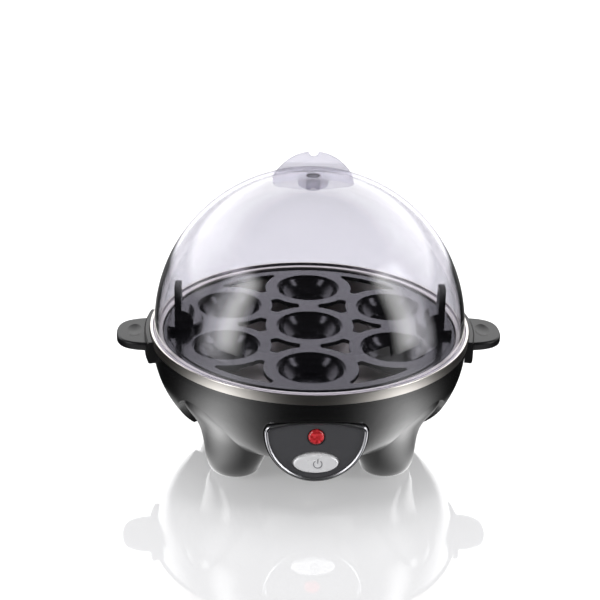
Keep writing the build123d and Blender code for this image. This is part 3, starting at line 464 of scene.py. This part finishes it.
def makeRetainer():
    bore = dome["radius"] - dome["wall"]
    foot = dome["middle"] + dome["radius"] - dome["wall"] - retainer["height"]
    top, inner = [dome["middle"] + sqrt((bore - retainer["gap"]) ** 2 - r ** 2)
                  for r in (retainer["radius"], dome["hole"])]
    outline = roundCorners([(dome["hole"], foot, retainer["holeRound"]),
                            (retainer["radius"], foot, retainer["edgeRound"]),
                            (retainer["radius"], top), (dome["hole"], inner)], closed=True)
    ring = turnOnLathe("handleRetainerRing", outline, steps=96)
    fit(ring, "handle_retainer", handleClear)


# Steel rim: one bent sheet with a channel for the dome, a step and a skirt over the housing
rim = {"outer": 93.0, "top": 76.0, "skirt": 70.0, "sheet": 0.8, "stepRadius": 91.0, "channel": 74.8,
       "bore": 85.6, "foot": 71.0, "bend": 0.55, "footEdge": 0.25, "skirtEdge": 0.3}


def makeRim():
    t, bend, footEdge, skirtEdge = rim["sheet"], rim["bend"], rim["footEdge"], rim["skirtEdge"]
    outline = roundCorners([
        (rim["bore"], rim["foot"], footEdge), (rim["bore"], rim["channel"], bend),
        (rim["stepRadius"], rim["channel"], bend), (rim["stepRadius"], rim["top"], bend),
        (rim["outer"], rim["top"], bend), (rim["outer"], rim["skirt"], skirtEdge),
        (rim["outer"] - t, rim["skirt"], skirtEdge), (rim["outer"] - t, rim["top"] - t),
        (rim["stepRadius"] + t, rim["top"] - t), (rim["stepRadius"] + t, rim["channel"] - t),
        (rim["bore"] + t, rim["channel"] - t), (rim["bore"] + t, rim["foot"], footEdge)], closed=True)
    ring = turnOnLathe("steelRim", outline, steps=320)
    fit(ring, "steel_rim", rimSteel)


# Heating dish: a spun pan with a bulging wall and a flat flange under the tray. The belly is a
# place on the wall, and its height is a share of the height from the floor to the ledge
dish = {"flange": 88.4, "mouth": 81.0, "ledge": 71.0, "floorRadius": 50.0, "floor": 50.0, "sheet": 1.0,
        "bellyInset": 5.2, "bellyHeight": 0.42}


# Wall of the dish from the flange down to the floor, dropped by the thickness for its outside
def dishWall(drop):
    rise = (dish["ledge"] - dish["floor"]) * dish["bellyHeight"]
    mouth = Vector((dish["mouth"] + drop, dish["ledge"] - drop))
    belly = Vector((dish["mouth"] - dish["bellyInset"] + drop, dish["floor"] - drop + rise))
    foot = Vector((dish["floorRadius"], dish["floor"] - drop))
    return curveThrough(mouth, belly, foot, count=24)


def makeDish():
    t, flange, ledge = dish["sheet"], dish["flange"], dish["ledge"]
    inside = [(0, dish["floor"])] + list(reversed(dishWall(0))) + [(flange, ledge)]
    outside = [(flange, ledge - t)] + dishWall(t) + [(0, dish["floor"] - t)]
    pan = turnOnLathe("heatingDish", inside + outside, closed=False)
    fit(pan, "heating_dish", dishSteel)


# The control panel leans back, and what is behind and on its button follows it
panelTilt = radians(5)
panel = {"middle": Vector((0, -89.4, 40.2)), "up": Vector((0, sin(panelTilt), cos(panelTilt))),
         "out": Vector((0, -cos(panelTilt), sin(panelTilt)))}

# Return spring behind the button: a coil of drawn wire
spring = {"drop": -6.8, "seat": -9.95, "wire": 0.4, "radius": 3.3, "reach": 6.725, "turns": 4,
          "wireSides": 14, "turnSteps": 40, "pressed": 0.72}


def makeSpring():
    seat = panel["middle"] + panel["up"] * spring["drop"] + panel["out"] * spring["seat"]
    bpy.ops.object.select_all(action="DESELECT")
    bpy.ops.mesh.primitive_circle_add(vertices=spring["wireSides"], radius=spring["wire"] * mm,
                                      location=(spring["radius"] * mm, 0, spring["wire"] * mm),
                                      rotation=(pi / 2, 0, 0))
    coil = bpy.context.object
    coil.name = "returnSpring"
    bpy.ops.object.transform_apply()
    applyModifier(coil, "SCREW", axis="Z", angle=2 * pi, iterations=spring["turns"],
                  screw_offset=spring["reach"] / spring["turns"] * mm,
                  steps=spring["turnSteps"], render_steps=spring["turnSteps"])
    editAll(coil)
    bpy.ops.mesh.remove_doubles(threshold=0.005 * mm)
    bpy.ops.mesh.fill_holes(sides=0)
    faceOutwards()
    coil.data.transform(planeAt(seat, (1, 0, 0), panel["up"], panel["out"]))
    settle(coil)
    fit(coil, "button_spring", finishes["spring_steel"])
    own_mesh(coil)


# Power sign on the button: a broken ring and a bar in flat grey ink
sign = {"x": 1.0, "y": -7.0, "out": 2.05, "thick": 0.12,
        "radius": 2.3, "line": 0.55, "gap": 38, "barTop": 3.1, "barFoot": 0.4}


def makePowerSign():
    half = sign["line"] / 2
    across = Vector((sign["x"], 0, 0))
    origin = panel["middle"] + across + panel["up"] * sign["y"] + panel["out"] * sign["out"]
    plane = planeAt(origin, (1, 0, 0), panel["up"], panel["out"])
    start, stop = 90 + sign["gap"], 450 - sign["gap"]
    ring = arcPoints((0, 0), sign["radius"] + half, start, stop, count=48)
    ring += reversed(arcPoints((0, 0), sign["radius"] - half, start, stop, count=48))
    bar = [(-half, sign["barFoot"]), (half, sign["barFoot"]),
           (half, sign["barTop"]), (-half, sign["barTop"])]
    mark = joinAll([drawPrism("powerSign", ring, sign["thick"], plane),
                    drawPrism("powerSignBar", bar, sign["thick"], plane)])
    settle(mark)
    dress(mark, makeSmallFinish("grey pad-printing ink", "#77777b", 0.0, 0.45, 0.2, 0.004))
    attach(mark, bodies["power_button"])


print("lid, rim and dish")
makeDome()
makeLidHandle()
makeRetainer()
makeRim()
makeDish()
print("spring and power sign")
makeSpring()
makePowerSign()

# Camera: the photograph's view, fitted to the rim, dome, cups and legs. Angles in degrees,
# distance and aim in metres, the focal length and the aim's place in the picture in pixels
print("camera")
view = {"elevation": 24.92, "azimuth": -3.39, "distance": 958.37 * mm, "aim": Vector((0, 0, 76 * mm)),
        "focal": 1637.89, "size": 600, "aimX": 309.57, "aimY": 322.18, "roll": 1.46, "sensor": 36}


def addCamera():
    camera = bpy.data.objects.new("photoCamera", bpy.data.cameras.new("photoCamera"))
    bpy.context.scene.collection.objects.link(camera)
    tilt, turn = radians(view["elevation"]), radians(view["azimuth"])
    out = Vector((sin(turn) * cos(tilt), -cos(turn) * cos(tilt), sin(tilt)))
    camera.location = view["aim"] + out * view["distance"]
    look = out.to_track_quat("Z", "Y").to_matrix().to_4x4()
    roll = Matrix.Rotation(radians(view["roll"]), 4, "Z")
    camera.matrix_world = Matrix.Translation(camera.location) @ look @ roll
    camera.data.sensor_width = view["sensor"]
    camera.data.lens = view["focal"] / view["size"] * view["sensor"]
    half = view["size"] / 2
    camera.data.shift_x = -(view["aimX"] - half) / view["size"]
    camera.data.shift_y = (view["aimY"] - half) / view["size"]
    camera.data.clip_start = 0.01
    bpy.context.scene.camera = camera


addCamera()

# Studio: a tall soft box on each side, a soft light above, a pale backdrop behind and a dark
# front, on a white lacquered table. Lengths in metres and turns in degrees; fade is the share
# of the width and the height of a box over which each of its edges fades out
print("studio")
sideBox = {"size": (0.34, 0.92), "strength": 7.5, "fade": (0.48, 0.22)}
sidePlaces = {"leftBox": ((-0.60, -0.36, 0.37), 121), "rightBox": ((0.64, -0.29, 0.37), 246)}


# Soft box: a glowing sheet, hidden from the camera, that fades out towards its edges
def addSoftBox(name, place, turn):
    bpy.ops.object.select_all(action="DESELECT")
    bpy.ops.mesh.primitive_plane_add(size=1, location=place, rotation=(pi / 2, 0, radians(turn)))
    sheet = bpy.context.object
    sheet.name = name
    sheet.scale = (*sideBox["size"], 1)
    sheet.visible_camera = False
    sheet.visible_shadow = False
    material = bpy.data.materials.new(name + ", lit cloth")
    tree = emptyTree(material)
    cloth = addNode(tree, "ShaderNodeTexCoord")
    split = addNode(tree, "ShaderNodeSeparateXYZ", links={"Vector": cloth.outputs["UV"]})
    edges = []
    for axis, fade in zip(("X", "Y"), sideBox["fade"]):
        off = addNode(tree, "ShaderNodeMath", {"operation": "SUBTRACT"}, {1: 0.5},
                      {0: split.outputs[axis]})
        far = addNode(tree, "ShaderNodeMath", {"operation": "ABSOLUTE"}, links={0: off.outputs[0]})
        soft = addNode(tree, "ShaderNodeMapRange", {"interpolation_type": "SMOOTHSTEP"},
                       {"From Min": 0.5, "From Max": 0.5 - fade, "To Min": 0.0, "To Max": 1.0},
                       {"Value": far.outputs[0]})
        edges.append(soft.outputs["Result"])
    level = addNode(tree, "ShaderNodeMath", {"operation": "MULTIPLY"},
                    links={0: edges[0], 1: edges[1]})
    power = addNode(tree, "ShaderNodeMath", {"operation": "MULTIPLY"}, {1: sideBox["strength"]},
                    {0: level.outputs[0]})
    glow = addNode(tree, "ShaderNodeEmission", links={"Strength": power.outputs[0]})
    addNode(tree, "ShaderNodeOutputMaterial", links={"Surface": glow.outputs[0]})
    dress(sheet, material)


# Light above, which gives soft shading and no highlight
topBox = {"place": (0, 0.1, 1.3), "aim": (0, 0, 0.1), "size": (0.9, 0.7), "strength": 4.0}


def addTopBox():
    width, depth = topBox["size"]
    light = bpy.data.lights.new("topBox", "AREA")
    light.shape = "RECTANGLE"
    light.size, light.size_y = width, depth
    light.energy = topBox["strength"] * pi * width * depth
    lamp = bpy.data.objects.new("topBox", light)
    bpy.context.scene.collection.objects.link(lamp)
    lamp.location = topBox["place"]
    lamp.rotation_euler = (Vector(topBox["aim"]) - lamp.location).to_track_quat("-Z", "Y").to_euler()
    lamp.visible_camera = False
    lamp.visible_glossy = False
    lamp.visible_transmission = False


# World: white to the eye and through the lid, a soft fill on the cooker, and for its gloss a
# dark room with a pale backdrop behind, dark again above and below it. Behind, raised and low
# are where the backdrop starts and ends, as parts of a direction whose length is 1
surround = {"seen": 1.0, "fill": 0.62, "front": 0.03, "backdrop": 2.8,
            "behind": (-0.1, 0.5), "raised": (0.10, 0.25), "low": (0.84, 0.58)}


def addWorld():
    world = bpy.data.worlds.new("studio")
    bpy.context.scene.world = world
    tree = emptyTree(world)
    ray = addNode(tree, "ShaderNodeLightPath")
    way = addNode(tree, "ShaderNodeTexCoord")
    split = addNode(tree, "ShaderNodeSeparateXYZ", links={"Vector": way.outputs["Generated"]})
    steps = {}
    for name, axis in (("behind", "Y"), ("low", "Z"), ("raised", "Z")):
        start, stop = surround[name]
        step = addNode(tree, "ShaderNodeMapRange", {"interpolation_type": "SMOOTHSTEP"},
                       {"From Min": start, "From Max": stop}, {"Value": split.outputs[axis]})
        steps[name] = step.outputs["Result"]
    band = addNode(tree, "ShaderNodeMath", {"operation": "MULTIPLY"},
                   links={0: steps["raised"], 1: steps["low"]})
    cloth = addNode(tree, "ShaderNodeMath", {"operation": "MULTIPLY"},
                    links={0: steps["behind"], 1: band.outputs[0]})
    gloss = addNode(tree, "ShaderNodeMapRange",
                    inputs={"To Min": surround["front"], "To Max": surround["backdrop"]},
                    links={"Value": cloth.outputs[0]})
    soft = addNode(tree, "ShaderNodeMapRange",
                   inputs={"To Min": surround["fill"], "To Max": surround["seen"]},
                   links={"Value": addSeen(tree, ray)})
    strength = addNode(tree, "ShaderNodeMix", links={
        "Factor": addShine(tree, ray), "A": soft.outputs["Result"], "B": gloss.outputs["Result"]})
    glow = addNode(tree, "ShaderNodeBackground", inputs={"Color": (1, 1, 1, 1)},
                   links={"Strength": strength.outputs["Result"]})
    addNode(tree, "ShaderNodeOutputWorld", links={"Surface": glow.outputs[0]})
    bpy.context.scene.view_settings.view_transform = "Standard"


# Table: white lacquer with a soft mirror image and the cooker's own shadow. A share of glow
# makes it white to the eye
table = {"size": 8, "colour": "#ececee", "mirror": 0.25, "roughness": 0.035,
         "glowShare": 0.27, "glow": 1.35}

# What the cooker's gloss sees in the table: dark, with a pool of light beside each front leg and
# a glow under the bowl. Reaches are from the middle of the cooker, and turns pair an angle from
# the front with the light there, the same on the left and the right
pool = {"light": 2.7, "fade": (0.15, 0.32), "fadedShare": 0.3, "inner": (0.07, 0.11), "innerShare": 0.75,
        "bowlGlow": 0.4, "bowlReach": (0.125, 0.085),
        "turns": ((0, 0.01), (15, 0.02), (22, 0.06), (33, 0.22), (44, 0.65), (55, 1.0), (66, 0.42),
                  (78, 0.05), (92, 0.0), (122, 0.0), (138, 0.04), (152, 0.3), (168, 0.1), (180, 0.02))}


# Light of the pools by turn and reach, and of the bowl's glow by reach
def addPools(tree):
    place = addNode(tree, "ShaderNodeTexCoord")
    split = addNode(tree, "ShaderNodeSeparateXYZ", links={"Vector": place.outputs["Object"]})
    across = addNode(tree, "ShaderNodeMath", {"operation": "ABSOLUTE"}, links={0: split.outputs["X"]})
    ahead = addNode(tree, "ShaderNodeMath", {"operation": "MULTIPLY"}, {1: -1.0},
                    {0: split.outputs["Y"]})
    turn = addNode(tree, "ShaderNodeMath", {"operation": "ARCTAN2"},
                   links={0: across.outputs[0], 1: ahead.outputs[0]})
    share = addNode(tree, "ShaderNodeMath", {"operation": "DIVIDE"}, {1: pi}, {0: turn.outputs[0]})
    ramp = addNode(tree, "ShaderNodeValToRGB", links={"Fac": share.outputs[0]})
    ramp.color_ramp.interpolation = "B_SPLINE"
    while len(ramp.color_ramp.elements) < len(pool["turns"]):
        ramp.color_ramp.elements.new(0.5)
    for stop, (angle, level) in zip(ramp.color_ramp.elements, pool["turns"]):
        stop.position = angle / 180
        stop.color = (level, level, level, 1)
    reach = addNode(tree, "ShaderNodeVectorMath", {"operation": "LENGTH"},
                    links={0: place.outputs["Object"]})
    levels = []
    for (start, stop), first, last in (
            (pool["fade"], pool["light"], pool["light"] * pool["fadedShare"]),
            (pool["inner"], pool["innerShare"], 1.0),
            (pool["bowlReach"], 0.0, pool["bowlGlow"])):
        step = addNode(tree, "ShaderNodeMapRange", {"interpolation_type": "SMOOTHSTEP"},
                       {"From Min": start, "From Max": stop, "To Min": first, "To Max": last},
                       {"Value": reach.outputs["Value"]})
        levels.append(step.outputs["Result"])
    far, inner, bowl = levels
    patch = addNode(tree, "ShaderNodeMath", {"operation": "MULTIPLY"},
                    links={0: ramp.outputs["Color"], 1: far})
    both = addNode(tree, "ShaderNodeMath", {"operation": "MULTIPLY"},
                   links={0: patch.outputs[0], 1: inner})
    level = addNode(tree, "ShaderNodeMath", {"operation": "MAXIMUM"},
                    links={0: both.outputs[0], 1: bowl})
    return addNode(tree, "ShaderNodeEmission", links={"Strength": level.outputs[0]})


def addTable():
    bpy.ops.object.select_all(action="DESELECT")
    bpy.ops.mesh.primitive_plane_add(size=table["size"], location=(0, 0, 0))
    top = bpy.context.object
    top.name = "studioTable"
    material = bpy.data.materials.new("white lacquered table, polished")
    tree = emptyTree(material)
    ray = addNode(tree, "ShaderNodeLightPath")
    share = addNode(tree, "ShaderNodeMath", {"operation": "MULTIPLY"}, {1: table["glowShare"]},
                    {0: addSeen(tree, ray)})
    paint = addNode(tree, "ShaderNodeBsdfDiffuse", inputs={"Color": srgb(table["colour"])})
    white = addNode(tree, "ShaderNodeEmission", inputs={"Strength": table["glow"]})
    pale = addNode(tree, "ShaderNodeMixShader",
                   links={0: share.outputs[0], 1: paint.outputs[0], 2: white.outputs[0]})
    lacquer = addNode(tree, "ShaderNodeBsdfGlossy",
                      inputs={"Color": (1, 1, 1, 1), "Roughness": table["roughness"]})
    seen = addNode(tree, "ShaderNodeMixShader", inputs={0: table["mirror"]},
                   links={1: pale.outputs[0], 2: lacquer.outputs[0]})
    pools = addPools(tree)
    surface = addNode(tree, "ShaderNodeMixShader",
                      links={0: addShine(tree, ray), 1: seen.outputs[0], 2: pools.outputs[0]})
    addNode(tree, "ShaderNodeOutputMaterial", links={"Surface": surface.outputs[0]})
    dress(top, material)


for name, (place, turn) in sidePlaces.items():
    addSoftBox(name, place, turn)
addTopBox()
addWorld()
addTable()

print("finished")
